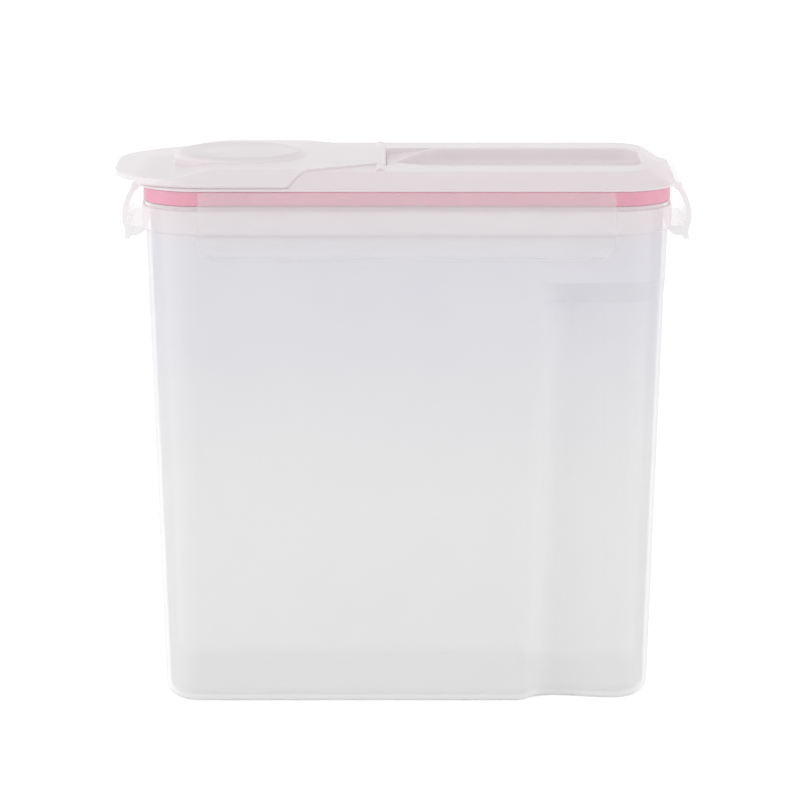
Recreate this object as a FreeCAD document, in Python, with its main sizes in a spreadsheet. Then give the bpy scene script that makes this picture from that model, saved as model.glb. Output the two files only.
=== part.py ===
import FreeCAD, Part
import Sketcher
import math
import os

# Flip-top food keeper: a tapered tub, a lid with a seal and four snap latches, and a pouring cap.
# The origin is under the middle of the whole, +Z is up and the pouring cap is at the -X end.
# Each piece is drawn about the middle of the tub, and at the end all are moved to the origin together.

# Driving sizes in millimetres. A name that ends in share is a ratio.
SIZES = {
    # Tub
    "tub_height": 209,
    "tub_top_length": 214.4,
    "tub_top_width": 105.2,
    "tub_top_corner": 22,
    "tub_base_length": 200,
    "tub_base_width": 91,
    "tub_base_corner": 15,
    "tub_wall": 2,
    "tub_floor": 2.4,
    "base_round": 7,
    "foot_recess": 0.9,
    "foot_margin": 20,
    "foot_corner": 8,
    "collar_height": 10,
    "collar_drop": 1.5,
    "collar_reach": 1.4,
    "collar_round": 0.7,
    # Grip recess in both long sides
    "grip_height": 177.5,
    "grip_length": 55,
    "grip_depth": 9,
    "grip_flank_round": 10,
    "grip_valley_round": 9,
    "grip_runout": 9,
    "grip_ramp_share": 0.2,
    "grip_lift_share": 0.4,
    # Lid
    "skirt_gap": 0.6,
    "skirt_wall": 1.6,
    "skirt_overlap": 0.7,
    "lid_rise": 13.3,
    "deck_wall": 2,
    "shoulder_inset": 10.5,
    "deck_round": 3,
    "plug_wall": 1.6,
    "plug_depth": 3,
    "flange_reach": 0.5,
    "flange_height": 0.7,
    "wing_core_margin": 2,
    "tray_depth": 6.3,
    "tray_side_margin": 28.8,
    "tray_end_margin": 13,
    "tray_tip_gap": 2.5,
    "tray_tip_round": 4,
    "tray_shoulder_run": 16,
    "tray_shoulder_round": 14,
    "tray_end_round": 9,
    "tray_floor_round": 2,
    "tray_edge_round": 0.8,
    "ramp_drop": 2.9,
    "ramp_length": 20,
    # Seals
    "gasket_height": 5.6,
    "gasket_width": 5,
    "gasket_round": 0.8,
    "seal_gap": 0.3,
    "fit_gap": 0.1,
    "cap_seal_width": 3,
    "cap_seal_height": 1.4,
    # Pouring opening and cap, set back from the spout end and in from the sides of the lid
    "cap_sink": 5.9,
    "cap_rise": 0.9,
    "cap_gap": 0.3,
    "cap_side_gap": 0.4,
    "cap_wall": 2,
    "opening_setback": 18.4,
    "opening_length": 40,
    "opening_side_margin": 18.8,
    "opening_round": 14,
    "bead_width": 1.6,
    "bead_height": 0.8,
    "stopper_gap": 0.6,
    "stopper_wall": 1.6,
    "stopper_depth": 4,
    "head_side_margin": 1.8,
    "head_end_round": 40,
    "head_edge_height": 1,
    "shoulder_setback": 60.9,
    "shoulder_round": 4,
    "neck_root_setback": 65.4,
    "neck_root_round": 18,
    "neck_step": 0.5,
    "neck_taper": 20.5,
    "lip_top_drop": 3.6,
    "lip_overhang": 10.8,
    "lip_flat_length": 19.2,
    "lip_slope_length": 27,
    "lip_under_rise": 0.9,
    "cavity_round": 2,
    "disc_setback": 40.4,
    "disc_radius": 27.5,
    "disc_rise": 2.1,
    "disc_rim": 4,
    "disc_dish": 0.8,
    "hinge_setback": 98.4,
    "barrel_radius": 2.4,
    "trunnion_radius": 1.2,
    "trunnion_length": 3.6,
    "trunnion_clearance": 0.05,
    "ear_width": 15,
    # Latches
    "latch_hinge_rise": 4.6,
    "latch_bead_radius": 1.7,
    "latch_bead_gap": 0.3,
    "latch_reach": 7.6,
    "latch_bulge_drop": 8.3,
    "latch_wall": 2.2,
    "latch_waist_inset": 1.2,
    "latch_waist_drop": 6.4,
    "latch_tip_drop": 4.4,
    "latch_corner": 7,
    "long_latch_end_gap": 0.7,
    "short_latch_end_gap": 5.6,
    "hook_gap": 0.3,
    "hook_bite": 1,
    "hook_nose": 1.5,
    "hook_height": 4.6,
    "hook_ramp_length": 2.6,
    "hook_ramp_drop": 2.3,
    # Cuts run past the faces that they open by this much
    "overrun": 1,
}

doc = FreeCAD.newDocument("food_storage_container")
sheet = doc.addObject("Spreadsheet::Sheet", "sizes")


class Size:
    """A length or share that carries its value and the sheet expression that gives it."""

    def __init__(self, value, text):
        self.value = value
        self.text = text

    def __add__(self, other):
        return Size(self.value + value_of(other), f"({self.text} + {text_of(other)})")

    def __sub__(self, other):
        return Size(self.value - value_of(other), f"({self.text} - {text_of(other)})")

    def __mul__(self, other):
        return Size(self.value * value_of(other), f"({self.text} * {text_of(other)})")

    def __truediv__(self, other):
        return Size(self.value / value_of(other), f"({self.text} / {text_of(other)})")

    def __neg__(self):
        return Size(-self.value, f"(-{self.text})")


def value_of(size):
    return size.value if isinstance(size, Size) else size


def text_of(size):
    return size.text if isinstance(size, Size) else repr(size)


def root(size):
    return Size(math.sqrt(size.value), f"sqrt({size.text})")


def fill_sheet():
    """Write the driving sizes to the sheet and return them as bound sizes."""
    bound = {}
    for row, (name, value) in enumerate(SIZES.items(), 1):
        sheet.set(f"A{row}", name)
        sheet.set(f"B{row}", str(value))
        sheet.setAlias(f"B{row}", name)
        bound[name] = Size(value, f"sizes.{name}")
    doc.recompute()
    return bound


s = fill_sheet()
NOUGHT = Size(0, "0")
UPWARD = FreeCAD.Vector(0, 0, 1)
SIDES = (("front", -1), ("back", 1))
BASE_EDGE_STEPS = 4
COLLAR_EDGE_STEPS = 2
LEVEL_SHARE = 1e-4

# Heights and half sizes that several pieces share
rim_z = s["tub_height"]
skirt_z = rim_z - s["skirt_overlap"]
gasket_z = rim_z + s["seal_gap"]
channel_z = gasket_z + s["gasket_height"] + s["fit_gap"]
deck_z = rim_z + s["lid_rise"]
pocket_z = deck_z - s["cap_sink"]
tray_z = deck_z - s["tray_depth"]
plug_z = rim_z - s["plug_depth"]
cap_z = deck_z + s["cap_rise"]
cap_under_z = pocket_z + s["cap_gap"]
cap_ceiling_z = cap_z - s["cap_wall"]
lip_under_z = cap_under_z + s["lip_under_rise"]
lip_top_z = cap_z - s["lip_top_drop"]
hinge_z = cap_z - s["barrel_radius"]
bead_z = pocket_z + s["bead_height"]
seal_z = bead_z + s["seal_gap"]
seal_top_z = seal_z + s["cap_seal_height"]
collar_top_z = rim_z - s["collar_drop"]
collar_z = collar_top_z - s["collar_height"]
skirt_inset = s["skirt_gap"] + s["skirt_wall"]
lid_half_length = s["tub_top_length"] / 2 + skirt_inset
lid_half_width = s["tub_top_width"] / 2 + skirt_inset
lid_corner = s["tub_top_corner"] + skirt_inset
gasket_inset = s["skirt_wall"] + s["fit_gap"]
plug_inset = gasket_inset + s["gasket_width"] + s["fit_gap"]
core_inset = plug_inset + s["plug_wall"]
spout_x = -lid_half_length
lip_x = spout_x - s["lip_overhang"]
slope_x = lip_x + s["lip_flat_length"]
crown_x = slope_x + s["lip_slope_length"]
opening_x = spout_x + s["opening_setback"]
disc_x = spout_x + s["disc_setback"]
shoulder_x = spout_x + s["shoulder_setback"]
neck_root_x = spout_x + s["neck_root_setback"]
hinge_x = spout_x + s["hinge_setback"]
seat_end_x = hinge_x + s["barrel_radius"] + s["cap_side_gap"]
head_half_width = lid_half_width - s["head_side_margin"]
opening_half_width = lid_half_width - s["opening_side_margin"]
tray_half_width = lid_half_width - s["tray_side_margin"]
neck_half_width = tray_half_width - s["neck_step"]
neck_root_half_width = neck_half_width + s["neck_taper"]
neck_end_x = hinge_x - s["barrel_radius"] - s["cap_side_gap"]
crest_half_width = lid_half_width - s["shoulder_inset"]
latch_hinge_z = rim_z + s["latch_hinge_rise"]
latch_hinge_out = s["latch_bead_radius"] + s["latch_bead_gap"]
flange_z = latch_hinge_z + latch_hinge_out


# Sketching
def start_body(label):
    body = doc.addObject("PartDesign::Body", label)
    body.Label = label
    return body


def start_sketch(body, name, role, offset=None, along=None):
    """Attach a sketch to one of the body's origin planes, lifted off it by offset."""
    sketch = body.newObject("Sketcher::SketchObject", name)
    plane = next(feature for feature in body.Origin.OriginFeatures if feature.Role == role)
    sketch.AttachmentSupport = [(plane, "")]
    sketch.MapMode = "FlatFace"
    if offset is not None:
        sketch.setExpression("AttachmentOffset.Base.z", offset.text)
    if along is not None:
        sketch.setExpression("AttachmentOffset.Base.x", along.text)
    return sketch


def add_bound(sketch, kind, places, size):
    """Add a constraint whose size is bound to the sheet."""
    index = sketch.addConstraint(Sketcher.Constraint(kind, *places, size.value))
    sketch.setExpression(f"Constraints[{index}]", size.text)


def pin(sketch, place, x, y):
    """Fix a sketch point at x, y from the sketch's origin."""
    for kind, size, axis in (("DistanceX", x, -2), ("DistanceY", y, -1)):
        if size.value == 0:
            sketch.addConstraint(Sketcher.Constraint("PointOnObject", *place, axis))
        elif size.value > 0:
            add_bound(sketch, kind, (-1, 1, *place), size)
        else:
            add_bound(sketch, kind, (*place, -1, 1), -size)


def vector(x, y):
    return FreeCAD.Vector(x, y, 0)


def draw_rounded(sketch, corners):
    """Draw a closed outline of straight sides; each corner is (x, y, radius or None)."""
    count = len(corners)
    places = [vector(x.value, y.value) for x, y, _ in corners]
    entries, exits = [], []
    for i, (_, _, radius) in enumerate(corners):
        back = (places[i - 1] - places[i]).normalize()
        ahead = (places[(i + 1) % count] - places[i]).normalize()
        cosine = back.dot(ahead)
        reach = radius.value * math.sqrt((1 + cosine) / (1 - cosine)) if radius else 0
        entries.append(places[i] + back * reach)
        exits.append(places[i] + ahead * reach)
    lines = []
    for i in range(count):
        lines.append(sketch.addGeometry(Part.LineSegment(exits[i], entries[(i + 1) % count])))
    for i, (x, y, radius) in enumerate(corners):
        before, after = lines[i - 1], lines[i]
        if radius is None:
            sketch.addConstraint(Sketcher.Constraint("Coincident", before, 2, after, 1))
            pin(sketch, (after, 1), x, y)
            continue
        round_corner(sketch, (before, after), (entries[i], places[i], exits[i]), radius)
        corner = sketch.addGeometry(Part.Point(places[i]), True)
        for line in (before, after):
            sketch.addConstraint(Sketcher.Constraint("PointOnObject", corner, 1, line))
        pin(sketch, (corner, 1), x, y)


def round_corner(sketch, lines, turn, radius):
    """Join two lines with a tangent arc of the given radius."""
    entry, corner, leave = turn
    bisector = (entry + leave) / 2 - corner
    half_chord = (leave - entry).Length / 2
    centre = corner + bisector * ((entry - corner).Length ** 2 / bisector.dot(entry - corner))
    middle = centre + (corner - centre).normalize() * (entry - centre).Length
    arc = sketch.addGeometry(Part.Arc(entry, middle, leave))
    first = 1 if (sketch.getPoint(arc, 1) - entry).Length < half_chord else 2
    sketch.addConstraint(Sketcher.Constraint("Tangent", lines[0], 2, arc, first))
    sketch.addConstraint(Sketcher.Constraint("Tangent", arc, 3 - first, lines[1], 1))
    add_bound(sketch, "Radius", (arc,), radius)


def draw_path(sketch, points, bows):
    """Draw a closed outline through points; bows maps a side to its radius, minus if it bends right."""
    count = len(points)
    places = [vector(x.value, y.value) for x, y in points]
    sides, starts = [], []
    for i in range(count):
        start, end = places[i], places[(i + 1) % count]
        if i in bows:
            side, first = draw_bow(sketch, start, end, bows[i])
        else:
            side, first = sketch.addGeometry(Part.LineSegment(start, end)), 1
        sides.append(side)
        starts.append(first)
    for i, (x, y) in enumerate(points):
        joint = (sides[i - 1], 3 - starts[i - 1], sides[i], starts[i])
        sketch.addConstraint(Sketcher.Constraint("Coincident", *joint))
        pin(sketch, (sides[i], starts[i]), x, y)


def draw_bow(sketch, start, end, radius):
    """Add an arc from start to end and say which of its own ends is the start."""
    turn = math.copysign(1, radius.value)
    size = radius if turn > 0 else -radius
    chord = end - start
    left = vector(-chord.y, chord.x).normalize()
    height = math.sqrt(max(size.value ** 2 - (chord.Length / 2) ** 2, 0))
    middle = (start + end) / 2 + left * (turn * (height - size.value))
    side = sketch.addGeometry(Part.Arc(start, middle, end))
    add_bound(sketch, "Radius", (side,), size)
    return side, 1 if (sketch.getPoint(side, 1) - start).Length < chord.Length / 2 else 2


def draw_circle(sketch, x, y, radius):
    round_line = Part.Circle(vector(x.value, y.value), UPWARD, radius.value)
    circle = sketch.addGeometry(round_line)
    add_bound(sketch, "Radius", (circle,), radius)
    pin(sketch, (circle, 3), x, y)


def block(half_length, half_width, corner, middle_x=NOUGHT):
    """The four corners of a rounded rectangle."""
    left, right = middle_x - half_length, middle_x + half_length
    return [
        (left, -half_width, corner),
        (right, -half_width, corner),
        (right, half_width, corner),
        (left, half_width, corner),
    ]


def span(start_x, end_x, half_width, corner):
    """A rounded rectangle from start_x to end_x, centred on y."""
    return block((end_x - start_x) / 2, half_width, corner, (start_x + end_x) / 2)


def mirrored(corners):
    """Corners at negative y followed by their mirror images at positive y."""
    return corners + [(x, -y, radius) for x, y, radius in reversed(corners)]


# Features
def extrude(kind, body, name, sketch, length, symmetric=False, upward=True):
    """Pad or pocket a sketch; upward is along the sketch's own normal."""
    feature = body.newObject(f"PartDesign::{kind}", name)
    feature.Profile = sketch
    feature.setExpression("Length", length.text)
    if symmetric:
        feature.SideType = "Symmetric"
    else:
        feature.Reversed = upward == (kind == "Pocket")
    sketch.Visibility = False
    return feature


def slab(body, name, outlines, low, high, kind="Pad"):
    """Add or remove a flat-topped form between two heights."""
    sketch = start_sketch(body, f"{name}_outline", "XY_Plane", low)
    for outline in outlines:
        draw_rounded(sketch, outline)
    return extrude(kind, body, name, sketch, high - low)


def loft(body, name, sections, ruled=True):
    feature = body.newObject("PartDesign::AdditiveLoft", name)
    feature.Profile = sections[0]
    feature.Sections = sections[1:]
    feature.Ruled = ruled
    return feature


def round_edges(body, name, base, radius, chosen):
    """Fillet the edges of the base feature that the test chooses."""
    doc.recompute()
    edges = [f"Edge{i}" for i, edge in enumerate(base.Shape.Edges, 1) if chosen(edge)]
    feature = body.newObject("PartDesign::Fillet", name)
    feature.Base = (base, edges)
    feature.setExpression("Radius", radius.text)
    return feature


def chamfer_edges(body, name, base, inward, downward, chosen):
    """Bevel the chosen top edges of the base feature by two distances."""
    doc.recompute()
    edges = [f"Edge{i}" for i, edge in enumerate(base.Shape.Edges, 1) if chosen(edge)]
    feature = body.newObject("PartDesign::Chamfer", name)
    feature.Base = (base, edges)
    feature.ChamferType = "Two distances"
    feature.setExpression("Size", downward.text)
    feature.setExpression("Size2", inward.text)
    return feature


def flat_at(z):
    """Test for edges that lie level at a height."""
    slack = s["overrun"].value * LEVEL_SHARE

    def chosen(edge):
        box = edge.BoundBox
        return abs(box.ZMin - z.value) < slack and abs(box.ZMax - z.value) < slack
    return chosen


def remove_bodies(body, name, tools):
    feature = body.newObject("PartDesign::Boolean", name)
    feature.setObjects(tools)
    feature.Type = "Cut"
    return feature


# Tub
def tapered(base, top, z):
    """A size of the drafted wall at height z."""
    return base + (top - base) * z / s["tub_height"]


def wall_section(z):
    half_length = tapered(s["tub_base_length"], s["tub_top_length"], z) / 2
    half_width = tapered(s["tub_base_width"], s["tub_top_width"], z) / 2
    return half_length, half_width, tapered(s["tub_base_corner"], s["tub_top_corner"], z)


def tub_outline(z, inset, gripped):
    """The wall at height z: three plain sides and, at the +X end, a recess in both long sides.

    The recess has an S-shaped flank, a valley, a ramp and the tub's own corner. Where the wall
    isn't gripped the same points lie on the plain outline, so that the levels match each other.
    """
    half_length, half_width, corner = wall_section(z)
    end, wall, bend = half_length - inset, half_width - inset, corner - inset
    flank, valley = s["grip_flank_round"] - inset, s["grip_valley_round"] + inset
    both = flank + valley
    cosine = (both - s["grip_depth"]) / both
    sine = root(cosine * -cosine + 1)
    slant = root(s["grip_ramp_share"] * s["grip_ramp_share"] + 1)
    ramp_sine, ramp_cosine = s["grip_ramp_share"] / slant, Size(1, "1") / slant
    start_x = half_length - s["grip_length"]
    flank_x = start_x + flank * sine
    ramp_x = start_x + both * sine + valley * ramp_sine
    side = [(start_x, wall), (flank_x, wall), (ramp_x, wall), (end - bend, wall), (end, wall - bend)]
    bows = {4: bend}
    if gripped:
        ramp_y = wall - s["grip_depth"] + valley - valley * ramp_cosine
        bend_x = end - bend - bend * ramp_sine
        bend_y = ramp_y + (bend_x - ramp_x) * s["grip_ramp_share"]
        side[1] = (flank_x, wall - flank + flank * cosine)
        side[2] = (ramp_x, ramp_y)
        side[3] = (bend_x, bend_y)
        side[4] = (end, bend_y - bend * ramp_cosine)
        bows.update({1: flank, 2: -valley})
    far = [(bend - end, wall), (-end, wall - bend)]
    points = [(bend - end, -wall)] + [(x, -y) for x, y in side]
    points += list(reversed(side)) + far + [(-end, bend - wall)]
    last = 2 * len(side)
    arcs = dict(bows)
    arcs.update({last - place: radius for place, radius in bows.items()})
    arcs.update({last + 1: bend, last + 3: bend})
    return points, arcs


def tub_level(body, name, z, inset, gripped):
    sketch = start_sketch(body, name, "XY_Plane", z)
    draw_path(sketch, *tub_outline(z, inset, gripped))
    return sketch


def tub_loft(body, name, low, high, inset):
    """Loft a round base edge, then the drafted wall with the recess running out at its top."""
    base_round = s["base_round"] - inset
    edge = []
    for count in range(BASE_EDGE_STEPS + 1):
        angle = math.pi / 2 * count / BASE_EDGE_STEPS
        z = low + base_round * (1 - math.cos(angle))
        draw_in = inset + base_round * (1 - math.sin(angle))
        edge.append(tub_level(body, f"{name}_edge_{count}", z, draw_in, True))
    loft(body, f"{name}_edge", edge, ruled=False)
    grip_top = s["grip_height"] + inset * s["grip_lift_share"]
    levels = [
        (low + base_round, True), (grip_top - s["grip_runout"], True), (grip_top, False), (high, False)
    ]
    sections = []
    for count, (z, gripped) in enumerate(levels):
        sections.append(tub_level(body, f"{name}_level_{count}", z, inset, gripped))
    return loft(body, name, sections)


def make_collar(tub):
    """A round-edged band that follows the wall under the rim."""
    edge = s["collar_round"]
    sections = []
    for count in range(COLLAR_EDGE_STEPS + 1):
        angle = math.pi / 2 * count / COLLAR_EDGE_STEPS
        sections.append((collar_z + edge * (1 - math.cos(angle)), edge * (math.sin(angle) - 1)))
    sections += [(collar_z + collar_top_z - z, grow) for z, grow in reversed(sections)]
    levels = []
    for count, (z, grow) in enumerate(sections):
        half_length, half_width, corner = wall_section(z)
        reach = s["collar_reach"] + grow
        level = start_sketch(tub, f"collar_level_{count}", "XY_Plane", z)
        draw_rounded(level, block(half_length + reach, half_width + reach, corner + reach))
        levels.append(level)
    loft(tub, "collar", levels)


def make_tub():
    cavity = start_body("tub_cavity")
    tub_loft(cavity, "hollow", s["tub_floor"], rim_z + s["overrun"], s["tub_wall"])

    tub = start_body("tub")
    tub_loft(tub, "wall", NOUGHT, rim_z, NOUGHT)
    make_collar(tub)
    remove_bodies(tub, "inside", [cavity])
    margin = s["foot_margin"]
    foot = block(s["tub_base_length"] / 2 - margin, s["tub_base_width"] / 2 - margin, s["foot_corner"])
    slab(tub, "foot", [foot], NOUGHT, s["foot_recess"], "Pocket")
    return tub


# Lid
def lid_outline(inset):
    return block(lid_half_length - inset, lid_half_width - inset, lid_corner - inset)


def tray_outline():
    """The tray in the rear deck, pointed towards the hinge of the cap."""
    tip_x = seat_end_x + s["tray_tip_gap"]
    shoulder = (tip_x + s["tray_shoulder_run"], -tray_half_width, s["tray_shoulder_round"])
    end = (lid_half_length - s["tray_end_margin"], -tray_half_width, s["tray_end_round"])
    return [(tip_x, NOUGHT, s["tray_tip_round"])] + mirrored([shoulder, end])


def pocket_outline():
    """The sunk seat of the cap: open at the pouring end and both sides, narrow at the hinge."""
    gap, past = s["cap_side_gap"], s["overrun"]
    side_y, neck_y = lid_half_width + past, neck_half_width + gap
    lean = (neck_root_x - shoulder_x) / (head_half_width - neck_root_half_width)
    side_x = shoulder_x + gap - (side_y - head_half_width) * lean
    return mirrored([
        (lip_x, -side_y, None),
        (side_x, -side_y, None),
        (neck_root_x + gap, -(neck_root_half_width + gap), s["neck_root_round"] - gap),
        (neck_end_x, -neck_y, None),
        (seat_end_x, -neck_y, None),
    ])


def opening_outline(grow):
    end_x = opening_x + s["opening_length"] + grow
    return span(opening_x - grow, end_x, opening_half_width + grow, s["opening_round"] + grow)


def make_deck(lid):
    """The lid's outside: a skirt, a sloping shoulder all round and a level deck."""
    base = slab(lid, "deck", [lid_outline(NOUGHT)], skirt_z, deck_z)
    shoulder = chamfer_edges(
        lid, "deck_shoulder", base, s["shoulder_inset"], deck_z - flange_z, flat_at(deck_z)
    )
    round_edges(lid, "deck_edge", shoulder, s["deck_round"], flat_at(deck_z))
    slab(lid, "flange", [lid_outline(-s["flange_reach"])], flange_z, flange_z + s["flange_height"])


def make_wing_cores(lid, core_z):
    """Hollow the two wings of the deck beside the tray from below."""
    inset, corner = s["shoulder_inset"] + s["wing_core_margin"], s["cavity_round"]
    start_x, end_x = seat_end_x + s["deck_wall"], lid_half_length - inset
    near_y, far_y = tray_half_width + s["deck_wall"], lid_half_width - inset
    for name, side in SIDES:
        wing = [
            (start_x, near_y * side, corner),
            (end_x, near_y * side, corner),
            (end_x, far_y * side, lid_corner - inset),
            (start_x, far_y * side, corner),
        ]
        slab(lid, f"wing_core_{name}", [wing], core_z, deck_z - s["deck_wall"], "Pocket")


def make_lid():
    lid = start_body("lid")
    make_deck(lid)
    slab(lid, "plug", [lid_outline(plug_inset)], plug_z, skirt_z)
    channel = [lid_outline(s["skirt_wall"]), lid_outline(plug_inset)]
    slab(lid, "gasket_channel", channel, skirt_z, channel_z, "Pocket")
    core_z = pocket_z - s["deck_wall"]
    slab(lid, "core", [lid_outline(core_inset)], plug_z, core_z, "Pocket")
    make_wing_cores(lid, core_z)
    slab(lid, "cap_seat", [pocket_outline()], pocket_z, deck_z + s["overrun"], "Pocket")
    tray = slab(lid, "tray", [tray_outline()], tray_z, deck_z + s["overrun"], "Pocket")
    tray_floor = round_edges(lid, "tray_floor_edge", tray, s["tray_floor_round"], flat_at(tray_z))
    reach_y = (tray_half_width + s["overrun"]).value
    reach_x = (lid_half_length - s["tray_end_margin"] + s["overrun"]).value

    def tray_rim(edge):
        box = edge.BoundBox
        inside = max(-box.YMin, box.YMax) < reach_y and box.XMax < reach_x
        return flat_at(deck_z)(edge) and inside and box.XMin > seat_end_x.value

    round_edges(lid, "tray_edge", tray_floor, s["tray_edge_round"], tray_rim)
    make_ramp(lid)
    bead = [opening_outline(s["bead_width"])]
    slab(lid, "opening_bead", bead, core_z, bead_z)
    opening = [opening_outline(NOUGHT)]
    slab(lid, "opening", opening, plug_z, bead_z + s["overrun"], "Pocket")
    make_hinge_ears(lid)
    return lid


def make_ramp(lid):
    """Slope the deck down towards the hinge, so that the opened cap has room behind it."""
    past, low_z, high_z = s["overrun"], deck_z - s["ramp_drop"], deck_z + s["overrun"]
    end_x = seat_end_x + s["ramp_length"]
    profile = start_sketch(lid, "ramp_outline", "XZ_Plane")
    points = [(seat_end_x, low_z), (end_x, deck_z), (end_x, high_z), (seat_end_x - past, high_z)]
    draw_path(profile, points + [(seat_end_x - past, low_z)], {})
    extrude("Pocket", lid, "ramp", profile, (neck_half_width + s["cap_side_gap"]) * 2, symmetric=True)


def make_hinge_ears(lid):
    """Two round ears beside the neck, bored for the cap's trunnions."""
    inner = neck_half_width + s["cap_side_gap"]
    for name, side in SIDES:
        offset = -(inner + s["ear_width"]) if side > 0 else inner
        ear = start_sketch(lid, f"ear_{name}_outline", "XZ_Plane", offset)
        draw_circle(ear, hinge_x, hinge_z, s["barrel_radius"])
        extrude("Pad", lid, f"ear_{name}", ear, s["ear_width"])
    bore = start_sketch(lid, "ear_bore_outline", "XZ_Plane")
    draw_circle(bore, hinge_x, hinge_z, s["trunnion_radius"] + s["trunnion_clearance"])
    trunnion_end = neck_half_width + s["trunnion_length"] + s["cap_side_gap"]
    extrude("Pocket", lid, "ear_bore", bore, trunnion_end * 2, symmetric=True)


def make_gasket():
    """The soft ring between the tub's rim and the lid."""
    gasket = start_body("main_gasket")
    ring = [lid_outline(gasket_inset), lid_outline(gasket_inset + s["gasket_width"])]
    top_z = gasket_z + s["gasket_height"]
    base = slab(gasket, "ring", ring, gasket_z, top_z)
    round_edges(gasket, "ring_edge", base, s["gasket_round"], flat_at(gasket_z))
    return gasket


# Pouring cap
def cap_outline():
    """Bell-shaped plan: a wide head over the opening and a neck to the hinge."""
    return mirrored([
        (lip_x, -head_half_width, s["head_end_round"]),
        (shoulder_x, -head_half_width, s["shoulder_round"]),
        (neck_root_x, -neck_root_half_width, s["neck_root_round"]),
        (neck_end_x, -neck_half_width, None),
        (hinge_x, -neck_half_width, None),
    ])


def make_cap():
    cap = start_body("flip_cap")
    past = s["overrun"]
    slab(cap, "cap_plate", [cap_outline()], cap_under_z, cap_z)
    width = (head_half_width + past) * 2

    slope = start_sketch(cap, "lip_slope_outline", "XZ_Plane")
    run, drop = s["lip_slope_length"] / 2, s["lip_top_drop"] / 2
    slope_radius = (run * run + drop * drop) / (drop * 2)
    far_x, high_z = lip_x - past, cap_z + past
    slope_points = [
        (crown_x, cap_z),
        (slope_x + run, lip_top_z + drop),
        (slope_x, lip_top_z),
        (far_x, lip_top_z),
        (far_x, high_z),
        (crown_x, high_z),
    ]
    draw_path(slope, slope_points, {0: slope_radius, 1: -slope_radius})
    extrude("Pocket", cap, "lip_slope", slope, width, symmetric=True)

    under = start_sketch(cap, "lip_underside_outline", "XZ_Plane")
    low_z, lid_end_x = cap_under_z - past, spout_x - s["flange_reach"]
    under_points = [(far_x, low_z), (lid_end_x, low_z), (lid_end_x, lip_under_z), (far_x, lip_under_z)]
    draw_path(under, under_points, {})
    extrude("Pocket", cap, "lip_underside", under, width, symmetric=True)

    make_cap_shoulders(cap)
    make_disc(cap)
    make_cap_hollows(cap)
    ring_inset = s["stopper_gap"] + s["stopper_wall"]
    stopper = [opening_outline(-s["stopper_gap"]), opening_outline(-ring_inset)]
    slab(cap, "stopper", stopper, pocket_z - s["stopper_depth"], seal_top_z)
    make_trunnions(cap)
    return cap


def make_cap_shoulders(cap):
    """Slope both sides of the head from the crest of the lid's shoulder down to a thin edge."""
    foot_z, past = cap_under_z + s["head_edge_height"], s["overrun"]
    slope = (cap_z - foot_z) / (head_half_width - crest_half_width)
    far_y, far_z, high_z = head_half_width + past, foot_z - past * slope, cap_z + past
    for name, side in SIDES:
        profile = start_sketch(cap, f"shoulder_{name}_outline", "YZ_Plane")
        points = [(crest_half_width, cap_z), (far_y, far_z), (far_y, high_z), (crest_half_width, high_z)]
        draw_path(profile, [(y * side, z) for y, z in points], {})
        extrude("Pocket", cap, f"shoulder_{name}", profile, lip_x * -2, symmetric=True)


def make_cap_hollows(cap):
    """Hollow the cap from below: inside the stopper, in the neck and disc, and for the seal."""
    low_z, wall, corner = cap_under_z - s["overrun"], s["cap_wall"], s["cavity_round"]
    ring_inset = s["stopper_gap"] + s["stopper_wall"]
    end_x = opening_x + s["opening_length"] - ring_inset
    inside = span(crown_x - wall, end_x, opening_half_width - ring_inset, s["opening_round"] - ring_inset)
    slab(cap, "stopper_hollow", [inside], low_z, cap_ceiling_z, "Pocket")
    neck = span(shoulder_x + wall, hinge_x - s["barrel_radius"] - wall, neck_half_width - wall, corner)
    slab(cap, "neck_hollow", [neck], low_z, cap_ceiling_z, "Pocket")
    disc_hollow = start_sketch(cap, "disc_hollow_outline", "XY_Plane", cap_under_z)
    draw_circle(disc_hollow, disc_x, NOUGHT, end_x - disc_x - wall)
    disc_under_z = cap_z + s["disc_rise"] - s["disc_dish"] - wall
    extrude("Pocket", cap, "disc_hollow", disc_hollow, disc_under_z - cap_under_z)
    seal_reach = s["cap_seal_width"] + s["fit_gap"] * 2 - s["stopper_gap"]
    groove = [opening_outline(seal_reach), opening_outline(-s["stopper_gap"])]
    slab(cap, "seal_groove", groove, low_z, seal_top_z + s["fit_gap"], "Pocket")


def make_disc(cap):
    """The raised round thumb disc with a dished top."""
    profile = start_sketch(cap, "disc_profile", "XZ_Plane", along=disc_x)
    radius, rim = s["disc_radius"], s["disc_rim"]
    top_z = cap_z + s["disc_rise"]
    dish_z = top_z - s["disc_dish"]
    dish_run = radius - rim
    dish_radius = (dish_run * dish_run + s["disc_dish"] * s["disc_dish"]) / (s["disc_dish"] * 2)
    rim_radius = (rim * rim + s["disc_rise"] * s["disc_rise"]) / (s["disc_rise"] * 2)
    points = [
        (NOUGHT, lip_top_z), (radius, lip_top_z), (radius, cap_z), (dish_run, top_z), (NOUGHT, dish_z)
    ]
    draw_path(profile, points, {2: rim_radius, 3: -dish_radius})
    disc = cap.newObject("PartDesign::Revolution", "disc")
    disc.Profile = profile
    disc.ReferenceAxis = (profile, ["V_Axis"])
    disc.Angle = 360


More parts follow.
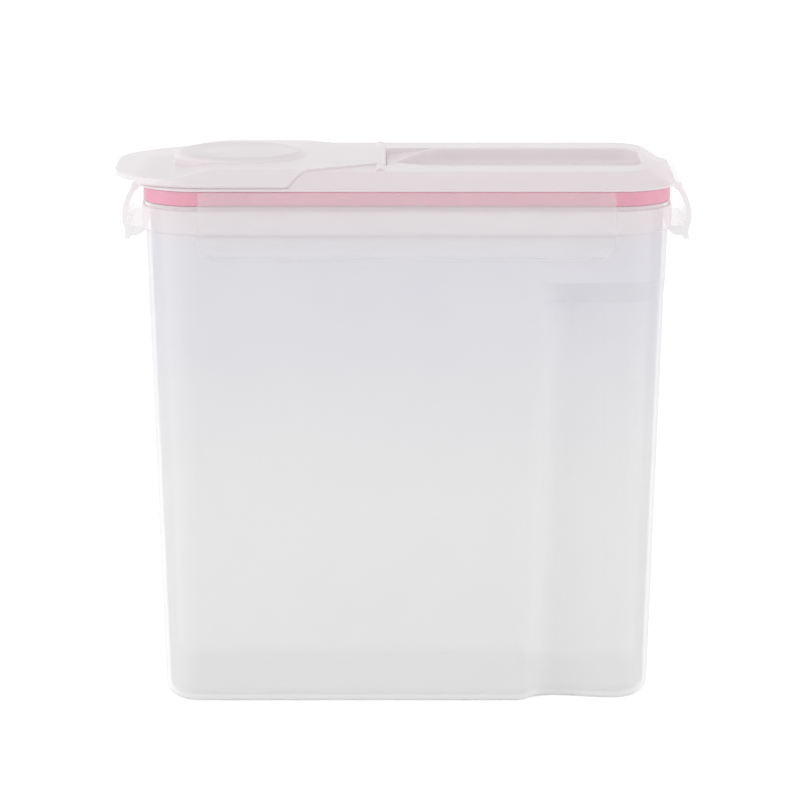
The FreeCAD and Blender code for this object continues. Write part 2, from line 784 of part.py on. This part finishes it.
def make_trunnions(cap):
    """The hinge barrel across the end of the neck, with a stub trunnion at each end."""
    barrel = start_sketch(cap, "barrel_outline", "XZ_Plane")
    draw_circle(barrel, hinge_x, hinge_z, s["barrel_radius"])
    extrude("Pad", cap, "barrel", barrel, neck_half_width * 2, symmetric=True)
    stub = start_sketch(cap, "trunnion_outline", "XZ_Plane")
    draw_circle(stub, hinge_x, hinge_z, s["trunnion_radius"])
    tip = neck_half_width + s["trunnion_length"]
    extrude("Pad", cap, "trunnions", stub, tip * 2, symmetric=True)


def make_cap_seal():
    """The soft ring under the cap, around its stopper and above the bead of the opening."""
    seal = start_body("cap_seal")
    inner = s["fit_gap"] - s["stopper_gap"]
    ring = [opening_outline(inner + s["cap_seal_width"]), opening_outline(inner)]
    slab(seal, "seal_ring", ring, seal_z, seal_top_z)
    return seal


# Latches
def make_latch(label, length, half_span, wall_x, turn):
    """A snap latch hung beside the lid's edge at half_span, then turned about Z to its side."""
    latch = start_body(label)
    pivot_x = half_span + latch_hinge_out
    bead = s["latch_bead_radius"]
    wall = s["latch_wall"]
    bulge_x = half_span + s["latch_reach"]
    bulge_z = rim_z - s["latch_bulge_drop"]
    top_z = latch_hinge_z + bead
    run, rise = bulge_x - pivot_x, top_z - bulge_z
    bow = (run * run + rise * rise) / (run * 2)
    bow_x = bulge_x - bow
    inset, drop = s["latch_waist_inset"] / 2, s["latch_waist_drop"] / 2
    curl = (inset * inset + drop * drop) / (inset * 2)
    turn_x, turn_z = bulge_x - inset, bulge_z - drop
    lean_x, lean_z = (curl - inset) / curl, drop / curl
    waist_z = turn_z - drop
    curl_x = turn_x - inset + curl
    tip_z = waist_z - s["latch_tip_drop"]
    tip_run = root(curl * curl - s["latch_tip_drop"] * s["latch_tip_drop"])
    tip_x = curl_x - tip_run
    foot_x = curl_x - tip_run * (curl + wall) / curl
    foot_z = waist_z - s["latch_tip_drop"] * (curl + wall) / curl
    inner_bow = bow - wall
    root_height = latch_hinge_z - bulge_z
    root_x = bow_x + root(inner_bow * inner_bow - root_height * root_height)
    plate = start_sketch(latch, f"{label}_plate_outline", "XZ_Plane")
    draw_path(plate, [
        (pivot_x, top_z),
        (bulge_x, bulge_z),
        (turn_x, turn_z),
        (tip_x, tip_z),
        (foot_x, foot_z),
        (turn_x - wall * lean_x, turn_z + wall * lean_z),
        (bulge_x - wall, bulge_z),
        (root_x, latch_hinge_z),
    ], {
        0: -bow, 1: -curl, 2: curl,
        4: -(curl + wall), 5: curl - wall, 6: inner_bow,
    })
    extrude("Pad", latch, f"{label}_plate", plate, length, symmetric=True)
    knuckle = start_sketch(latch, f"{label}_bead_outline", "XZ_Plane")
    draw_circle(knuckle, pivot_x, latch_hinge_z, bead)
    extrude("Pad", latch, f"{label}_bead", knuckle, length, symmetric=True)

    hook_z = collar_z - s["hook_gap"]
    nose_x = wall_x + s["collar_reach"] - s["hook_bite"]
    hook = start_sketch(latch, f"{label}_hook_outline", "XZ_Plane")
    heel_x = turn_x - wall * lean_x / 2
    draw_path(hook, [
        (bulge_x - wall / 2, hook_z),
        (nose_x, hook_z),
        (nose_x, hook_z - s["hook_nose"]),
        (nose_x + s["hook_ramp_length"], hook_z - s["hook_nose"] - s["hook_ramp_drop"]),
        (heel_x, hook_z - s["hook_height"]),
    ], {})
    extrude("Pad", latch, f"{label}_hook", hook, length, symmetric=True)

    corners = start_sketch(latch, f"{label}_corner_outline", "YZ_Plane")
    corner, end, past = s["latch_corner"], length / 2, s["overrun"]
    for side in (1, -1):
        edge, far, inner = end * side, (end + past) * side, (end - corner) * side
        draw_path(corners, [
            (edge, foot_z + corner), (inner, foot_z), (inner, foot_z - past), (far, foot_z - past),
            (far, foot_z + corner),
        ], {0: corner * -side})
    extrude("Pocket", latch, f"{label}_corners", corners, (bulge_x + past) * 2, symmetric=True)
    latch.Placement.Rotation = FreeCAD.Rotation(UPWARD, turn)
    return latch


collar_half_length, collar_half_width, _ = wall_section(collar_z)
long_latch = (lid_half_length - lid_corner - s["long_latch_end_gap"]) * 2
short_latch = (lid_half_width - lid_corner - s["short_latch_end_gap"]) * 2
pieces = [
    make_tub(),
    make_lid(),
    make_gasket(),
    make_cap(),
    make_cap_seal(),
    make_latch("front_latch", long_latch, lid_half_width, collar_half_width, -90),
    make_latch("back_latch", long_latch, lid_half_width, collar_half_width, 90),
    make_latch("grip_end_latch", short_latch, lid_half_length, collar_half_length, 0),
    make_latch("spout_end_latch", short_latch, lid_half_length, collar_half_length, 180),
]
middle_x = (s["lip_overhang"] - s["latch_reach"]) / 2
for piece in pieces:
    piece.setExpression("Placement.Base.x", middle_x.text)
doc.recompute()

for item in doc.Objects:
    if "Invalid" in item.State or "Error" in item.State:
        raise RuntimeError(f"{item.Label} failed: {item.State}")
for piece in pieces:
    shape = piece.Shape
    if shape.isNull() or not shape.isValid() or not shape.Solids:
        raise RuntimeError(f"{piece.Label} has no valid solid")
    box = shape.BoundBox
    print(
        f"{piece.Label}: {len(shape.Solids)} solid, {len(shape.Faces)} faces, {shape.Volume:.0f} mm3,",
        f"x {box.XMin:.2f} {box.XMax:.2f} y {box.YMin:.2f} {box.YMax:.2f} z {box.ZMin:.2f} {box.ZMax:.2f}",
    )

os.makedirs("parts", exist_ok=True)
for piece in pieces:
    piece.Shape.exportStep(f"parts/{piece.Label}.step")
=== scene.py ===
import math

import bpy
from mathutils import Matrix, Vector


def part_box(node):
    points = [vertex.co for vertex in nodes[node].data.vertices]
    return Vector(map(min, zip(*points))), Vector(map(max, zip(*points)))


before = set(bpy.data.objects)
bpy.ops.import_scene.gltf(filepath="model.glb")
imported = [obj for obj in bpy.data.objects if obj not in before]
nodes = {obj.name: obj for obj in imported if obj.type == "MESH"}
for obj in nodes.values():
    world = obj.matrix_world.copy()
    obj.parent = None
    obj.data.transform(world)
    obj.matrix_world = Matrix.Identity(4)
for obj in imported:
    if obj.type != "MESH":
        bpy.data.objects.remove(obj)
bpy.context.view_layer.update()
scene = bpy.context.scene
scene.view_settings.view_transform = "Standard"

# Camera at the photograph's viewing angle, with its lens and sensor in millimetres
CAMERA_PLACE = (-0.0012, -2.0, 0.501)
CAMERA_PITCH_DOWN = 10.8
CAMERA_LENS = 218.7
CAMERA_SENSOR = 36
CAMERA_CLIP_END = 50

# Floor and world, darker to the rays that gather light than to those that look at them
FLOOR_SIDE = 6
FLOOR_FRONT = -4
FLOOR_BACK = 9
FLOOR_COLOUR = (0.92, 0.92, 0.92)
FLOOR_GLOW = 0.5
WORLD_COLOUR = (1, 1, 1)
WORLD_LIGHT = 0.7
WORLD_SEEN = 1

# Lamps, all pointing at one place in the tub
LAMP_AIM = (0, 0, 0.12)
KEY_PLACE = (-1.2, -1.6, 1.7)
KEY_SIZE = (1.4, 1.4)
KEY_POWER = 8
SIDE_X = 1.9
SIDE_Y = -0.4
SIDE_Z = 0.4
SIDE_SIZE = (0.7, 1.2)
SIDE_POWER = 7.5

# Heights between which the tub's upper wall takes painted shade, darker and bluish, its collar takes
# painted pink light from the gasket, and the cap's disc takes painted shade
WALL_SHADE_HEIGHTS = (0.07, 0.18)
COLLAR_LIGHT_HEIGHTS = (0.19, 0.203)
DISC_SHADE_DEPTH = 0.0018
DISC_SHADE_MARGIN = 0.0001
cap_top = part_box("flip_cap")[1].z
disc_shade_heights = (cap_top - DISC_SHADE_DEPTH, cap_top - DISC_SHADE_MARGIN)

# Clear edge of the lid: its outermost strip, up to just above the gasket
LID_CORNER_RADIUS = 0.0247
RIM_WIDTH = 0.0027
RIM_OVER_GASKET = 0.0002
lid_low, lid_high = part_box("lid")
lid_middle = (lid_low + lid_high) / 2
lid_straight = lid_high - lid_middle - Vector((LID_CORNER_RADIUS, LID_CORNER_RADIUS, 0))
rim_start = LID_CORNER_RADIUS - RIM_WIDTH
rim_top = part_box("main_gasket")[1].z + RIM_OVER_GASKET

# Least share of a face's normal along an axis for a latch's end face
END_FACE_SHARE = 0.8

# Values that the materials share
PLASTIC_IOR = 1.49
SILICONE_IOR = 1.41
EVEN_RADIUS = (1, 1, 1)
GRAIN_DEPTH = 0.0002
CLOUD_COLOUR = (0.95, 0.95, 0.95)
NOISE_ROUGHNESS = 0.55
NOISE_SPAN = (0.3, 0.7)
THICK_EDGE_SPAN = (0.5, 0.9)
THIN_EDGE_SPAN = (0.5, 1)
THIN_EDGE_ALPHA = 0.7
ROUGH_VARIATION = 0.015

# Places of the colour sockets of a mix node, which has sockets of the same names for numbers
MIX_FIRST = 6
MIX_SECOND = 7
MIX_RESULT = 2


# Shader nodes
def feed(tree, socket, value):
    """Link a socket to another node's output, or give it a constant."""
    if isinstance(value, bpy.types.NodeSocket):
        tree.links.new(value, socket)
    elif socket.type == "RGBA":
        socket.default_value = (*value, 1)
    else:
        socket.default_value = value


def add_node(tree, kind, **inputs):
    """A new node with the given values or links at the inputs of those names."""
    node = tree.nodes.new(kind)
    for name, value in inputs.items():
        feed(tree, node.inputs[name.replace("_", " ")], value)
    return node


def calculate(tree, operation, first, second):
    """The result of a math node on two numbers or sockets."""
    node = tree.nodes.new("ShaderNodeMath")
    node.operation = operation
    feed(tree, node.inputs[0], first)
    feed(tree, node.inputs[1], second)
    return node.outputs[0]


def looking_ray(tree):
    """One for camera, glossy and transmitted rays, nought for the rays that gather light."""
    path = tree.nodes.new("ShaderNodeLightPath")
    result = path.outputs["Is Camera Ray"]
    for name in ("Is Glossy Ray", "Is Transmission Ray"):
        result = calculate(tree, "MAXIMUM", result, path.outputs[name])
    return result


# Camera and studio
def make_camera():
    data = bpy.data.cameras.new("camera")
    data.sensor_width = CAMERA_SENSOR
    data.lens = CAMERA_LENS
    data.clip_end = CAMERA_CLIP_END
    camera = bpy.data.objects.new("camera", data)
    camera.location = CAMERA_PLACE
    camera.rotation_euler = (math.radians(90 - CAMERA_PITCH_DOWN), 0, 0)
    scene.collection.objects.link(camera)
    scene.camera = camera


def make_world():
    world = bpy.data.worlds.new("studio")
    scene.world = world
    world.use_nodes = True
    tree = world.node_tree
    tree.nodes.clear()
    strength = add_node(
        tree, "ShaderNodeMapRange", Value=looking_ray(tree), To_Min=WORLD_LIGHT, To_Max=WORLD_SEEN
    )
    light = add_node(
        tree, "ShaderNodeBackground", Color=WORLD_COLOUR, Strength=strength.outputs["Result"]
    )
    add_node(tree, "ShaderNodeOutputWorld", Surface=light.outputs[0])


def floor_material():
    """Matt white that glows a little where it is looked at, so that it meets the background unseen."""
    material = bpy.data.materials.new("floor")
    material.use_nodes = True
    tree = material.node_tree
    tree.nodes.clear()
    matt = add_node(tree, "ShaderNodeBsdfDiffuse", Color=FLOOR_COLOUR)
    glow_strength = calculate(tree, "MULTIPLY", looking_ray(tree), FLOOR_GLOW)
    glow = add_node(tree, "ShaderNodeEmission", Strength=glow_strength)
    both = tree.nodes.new("ShaderNodeAddShader")
    feed(tree, both.inputs[0], matt.outputs[0])
    feed(tree, both.inputs[1], glow.outputs[0])
    add_node(tree, "ShaderNodeOutputMaterial", Surface=both.outputs[0])
    return material


def make_floor():
    corners = [
        (-FLOOR_SIDE, FLOOR_FRONT, 0),
        (FLOOR_SIDE, FLOOR_FRONT, 0),
        (FLOOR_SIDE, FLOOR_BACK, 0),
        (-FLOOR_SIDE, FLOOR_BACK, 0),
    ]
    mesh = bpy.data.meshes.new("floor")
    mesh.from_pydata(corners, [], [(0, 1, 2, 3)])
    mesh.materials.append(floor_material())
    floor = bpy.data.objects.new("floor", mesh)
    scene.collection.objects.link(floor)


def make_lamp(name, place, size, power):
    data = bpy.data.lights.new(name, "AREA")
    data.shape = "RECTANGLE"
    data.size, data.size_y = size
    data.energy = power
    lamp = bpy.data.objects.new(name, data)
    lamp.location = place
    direction = Vector(LAMP_AIM) - Vector(place)
    lamp.rotation_euler = direction.to_track_quat("-Z", "Y").to_euler()
    scene.collection.objects.link(lamp)


# Materials
class Shader:
    """A principled material whose inputs are made step by step from nodes."""

    def __init__(self, name, **inputs):
        self.material = bpy.data.materials.new(name)
        self.material.use_nodes = True
        self.tree = self.material.node_tree
        self.surface = self.tree.nodes["Principled BSDF"]
        self.place = self.tree.nodes.new("ShaderNodeTexCoord").outputs["Object"]
        self.set(**inputs)

    def set(self, **inputs):
        """Give the surface's inputs of those names their values or links."""
        for name, value in inputs.items():
            feed(self.tree, self.surface.inputs[name.replace("_", " ")], value)

    def noise(self, scale, detail=3):
        node = add_node(
            self.tree, "ShaderNodeTexNoise",
            Vector=self.place, Scale=scale, Detail=detail, Roughness=NOISE_ROUGHNESS,
        )
        return node.outputs["Fac"]

    def height(self):
        """Height above the floor with the part at rest."""
        return add_node(self.tree, "ShaderNodeSeparateXYZ", Vector=self.place).outputs["Z"]

    def edge_on(self):
        """Nought where the surface faces the eye, one where it is seen edge-on."""
        return self.tree.nodes.new("ShaderNodeLayerWeight").outputs["Facing"]

    def ramp(self, value, low=0, high=1, span=NOISE_SPAN):
        """Go smoothly from the low to the high number while the value crosses the span."""
        start, end = span
        node = add_node(
            self.tree, "ShaderNodeMapRange",
            Value=value, From_Min=start, From_Max=end, To_Min=low, To_Max=high,
        )
        node.interpolation_type = "SMOOTHSTEP"
        return node.outputs["Result"]

    def blend(self, amount, first, second):
        """Mix two colours by an amount from nought to one."""
        node = self.tree.nodes.new("ShaderNodeMix")
        node.data_type = "RGBA"
        feed(self.tree, node.inputs["Factor"], amount)
        feed(self.tree, node.inputs[MIX_FIRST], first)
        feed(self.tree, node.inputs[MIX_SECOND], second)
        return node.outputs[MIX_RESULT]

    def grain(self, scale, strength):
        """The normal of a finely grained surface."""
        node = add_node(
            self.tree, "ShaderNodeBump",
            Height=self.noise(scale, detail=2), Strength=strength, Distance=GRAIN_DEPTH,
        )
        return node.outputs["Normal"]

    def wall_alpha(self, alpha, shade):
        """Alpha that counts once in a wall, on the side where a ray enters it.

        Rays that gather light meet only the given share of it, so that the inside is bright.
        """
        share = add_node(
            self.tree, "ShaderNodeMapRange", Value=looking_ray(self.tree), To_Min=shade
        )
        leaving = self.tree.nodes.new("ShaderNodeNewGeometry").outputs["Backfacing"]
        entering = calculate(self.tree, "SUBTRACT", 1, leaving)
        shared = calculate(self.tree, "MULTIPLY", alpha, share.outputs["Result"])
        return calculate(self.tree, "MULTIPLY", shared, entering)


def milky_plastic(name, low_colour, shaded_high_colour, collar_light_colour):
    """Thick milky plastic: light spreads inside it, and its flow in the mould clouds it a little. Its
    colour carries painted shade, darker and bluish up the wall, and painted pink light from the gasket
    at the collar.
    """
    shader = Shader(name, IOR=PLASTIC_IOR, Specular_IOR_Level=0.25)
    shader.set(Subsurface_Weight=0.25, Subsurface_Scale=0.008, Subsurface_Radius=EVEN_RADIUS)
    # Painted shade: the wall's colour goes darker and bluish towards its top
    wall_shade_amount = shader.ramp(shader.height(), span=WALL_SHADE_HEIGHTS)
    # Painted light: the collar takes a pink colour that stands in for light from the gasket
    collar_light_amount = shader.ramp(shader.height(), span=COLLAR_LIGHT_HEIGHTS)
    tone_and_painted_light = shader.blend(wall_shade_amount, low_colour, shaded_high_colour)
    tone_and_painted_light = shader.blend(collar_light_amount, tone_and_painted_light, collar_light_colour)
    cloud = shader.ramp(shader.noise(scale=16), high=0.2)
    alpha = shader.ramp(shader.edge_on(), low=0.75, span=THICK_EDGE_SPAN)
    shader.set(
        Base_Color=shader.blend(cloud, tone_and_painted_light, CLOUD_COLOUR),
        Roughness=shader.ramp(shader.noise(scale=60, detail=4), low=0.36, high=0.44),
        Alpha=shader.wall_alpha(alpha, shade=0.75),
        Normal=shader.grain(scale=700, strength=0.03),
    )
    return shader.material


def thin_plastic(name, colour, warm_colour, rough, alpha, shade, spread=0, disc_shade_colour=None):
    """Thin plastic that lets part of the light straight through and clouds where it is seen edge-on."""
    shader = Shader(name, IOR=PLASTIC_IOR)
    shader.set(Subsurface_Weight=spread, Subsurface_Scale=0.004, Subsurface_Radius=EVEN_RADIUS)
    cloud = shader.ramp(shader.noise(scale=14, detail=1))
    tone_and_painted_light = shader.blend(cloud, colour, warm_colour)
    # Painted shade: the top of the cap's disc is coloured darker
    if disc_shade_colour:
        disc_shade_amount = shader.ramp(shader.height(), span=disc_shade_heights)
        tone_and_painted_light = shader.blend(disc_shade_amount, tone_and_painted_light, disc_shade_colour)
    smoother = rough - ROUGH_VARIATION
    rougher = rough + ROUGH_VARIATION
    edge_alpha = max(alpha, THIN_EDGE_ALPHA)
    seen_alpha = shader.ramp(shader.edge_on(), low=alpha, high=edge_alpha, span=THIN_EDGE_SPAN)
    shader.set(
        Base_Color=tone_and_painted_light,
        Roughness=shader.ramp(shader.noise(scale=30, detail=1), low=smoother, high=rougher),
        Alpha=shader.wall_alpha(seen_alpha, shade),
    )
    return shader.material


def silicone(name, colour, deep_colour):
    """Soft silicone with a dusty sheen and slight mottling."""
    shader = Shader(name, IOR=SILICONE_IOR, Sheen_Weight=0.25, Sheen_Roughness=0.4)
    mottle = shader.ramp(shader.noise(scale=120, detail=4))
    shader.set(
        Subsurface_Weight=0.5,
        Subsurface_Scale=0.004,
        Base_Color=shader.blend(mottle, colour, deep_colour),
        Roughness=shader.ramp(shader.noise(scale=250), low=0.42, high=0.56),
        Normal=shader.grain(scale=1500, strength=0.08),
    )
    return shader.material


# Which material goes where
def dress(node, material):
    slots = nodes[node].data.materials
    slots.clear()
    slots.append(material)


def dress_faces(node, material, belongs):
    """Give the faces of a node that the test picks a material of their own."""
    mesh = nodes[node].data
    slot = len(mesh.materials)
    mesh.materials.append(material)
    for face in mesh.polygons:
        if belongs(face):
            face.material_index = slot


def in_rim(face):
    """True on the clear edge of the lid."""
    past_x = max(abs(face.center.x - lid_middle.x) - lid_straight.x, 0)
    past_y = max(abs(face.center.y - lid_middle.y) - lid_straight.y, 0)
    return face.center.z < rim_top and math.hypot(past_x, past_y) > rim_start


def at_x_end(face):
    """True on the end faces of a latch that lies along X."""
    return abs(face.normal.x) > END_FACE_SHARE


def at_y_end(face):
    """True on the end faces of a latch that lies along Y."""
    return abs(face.normal.y) > END_FACE_SHARE


def dress_tub():
    # The high colour is painted shade up the wall, and the collar colour is painted pink light from the
    # gasket
    dress("tub", milky_plastic(
        "tub_plastic", low_colour=(0.92, 0.92, 0.92), shaded_high_colour=(0.82, 0.81, 0.87),
        collar_light_colour=(0.88, 0.8, 0.825),
    ))


def dress_lid():
    dress("lid", thin_plastic(
        "lid_plastic", colour=(0.86, 0.795, 0.817), warm_colour=(0.86, 0.785, 0.81),
        rough=0.3, alpha=0.95, shade=0.6, spread=0.4,
    ))
    rim_plastic = thin_plastic(
        "rim_plastic", colour=(0.93, 0.9, 0.91), warm_colour=(0.93, 0.89, 0.9),
        rough=0.15, alpha=0.18, shade=0.25,
    )
    dress_faces("lid", rim_plastic, in_rim)


def dress_cap():
    # The disc colour is painted shade on the top of the cap's disc
    dress("flip_cap", thin_plastic(
        "cap_plastic", colour=(0.88, 0.83, 0.847), warm_colour=(0.88, 0.825, 0.842),
        rough=0.3, alpha=0.95, shade=0.6, spread=0.4, disc_shade_colour=(0.8, 0.75, 0.765),
    ))


def dress_latches():
    latch_plastic = thin_plastic(
        "latch_plastic", colour=(0.86, 0.835, 0.85), warm_colour=(0.85, 0.82, 0.835),
        rough=0.15, alpha=0.35, shade=0.2,
    )
    end_plastic = thin_plastic(
        "latch_edge_plastic", colour=(0.86, 0.83, 0.85), warm_colour=(0.85, 0.82, 0.835),
        rough=0.2, alpha=0.7, shade=0.2,
    )
    for latch, at_end in (
        ("front_latch", at_x_end),
        ("back_latch", at_x_end),
        ("grip_end_latch", at_y_end),
        ("spout_end_latch", at_y_end),
    ):
        dress(latch, latch_plastic)
        dress_faces(latch, end_plastic, at_end)


def dress_seals():
    dress("main_gasket", silicone(
        "pink_silicone", colour=(0.9, 0.36, 0.5), deep_colour=(0.86, 0.31, 0.46)
    ))
    dress("cap_seal", silicone(
        "clear_silicone", colour=(0.86, 0.86, 0.87), deep_colour=(0.8, 0.8, 0.82)
    ))


# The scene
make_camera()
make_world()
make_floor()
make_lamp("key", KEY_PLACE, KEY_SIZE, KEY_POWER)
for lamp_name, side in (("left", -1), ("right", 1)):
    make_lamp(lamp_name, (side * SIDE_X, SIDE_Y, SIDE_Z), SIDE_SIZE, SIDE_POWER)
dress_tub()
dress_lid()
dress_cap()
dress_latches()
dress_seals()
